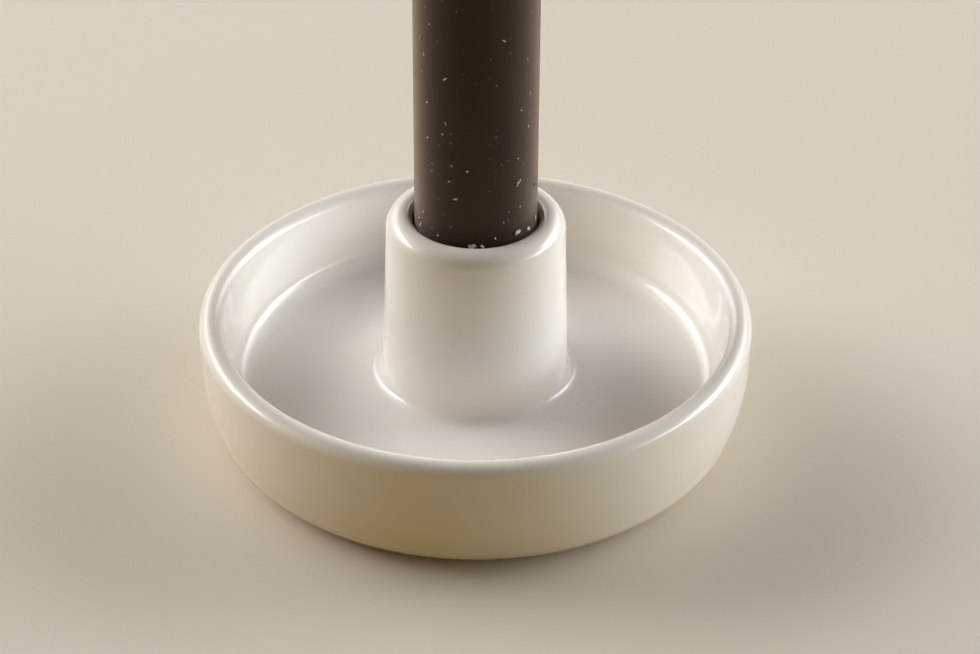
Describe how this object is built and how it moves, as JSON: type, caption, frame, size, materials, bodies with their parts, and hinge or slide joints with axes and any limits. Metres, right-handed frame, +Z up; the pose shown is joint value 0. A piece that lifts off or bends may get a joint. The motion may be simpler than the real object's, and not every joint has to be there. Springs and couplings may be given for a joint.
{
  "type": "candle plate",
  "caption": "Small round candle plate: a glazed dish with an upright rounded wall and a conical socket in its middle, which holds a slender household candle.",
  "frame": {"origin": "centre of the foot ring, on the surface that the plate stands on", "axes": "+Z up along the axis of the socket and candle; the plate is round about it"},
  "size_m": [0.0996, 0.0996, 0.2248],
  "materials": {
    "glaze": "gloss",
    "wax": "satin",
    "cotton": "matte"
  },
  "bodies": {
    "plate": {"plate": "glaze"},
    "candle": {"candle": "wax", "wick": "cotton"}
  },
  "joints": [
    {"name": "candle_lift", "type": "slide", "parent": "plate", "child": "candle", "axis": [0, 0, 1], "range_m": [0, 0.045]}
  ]
}
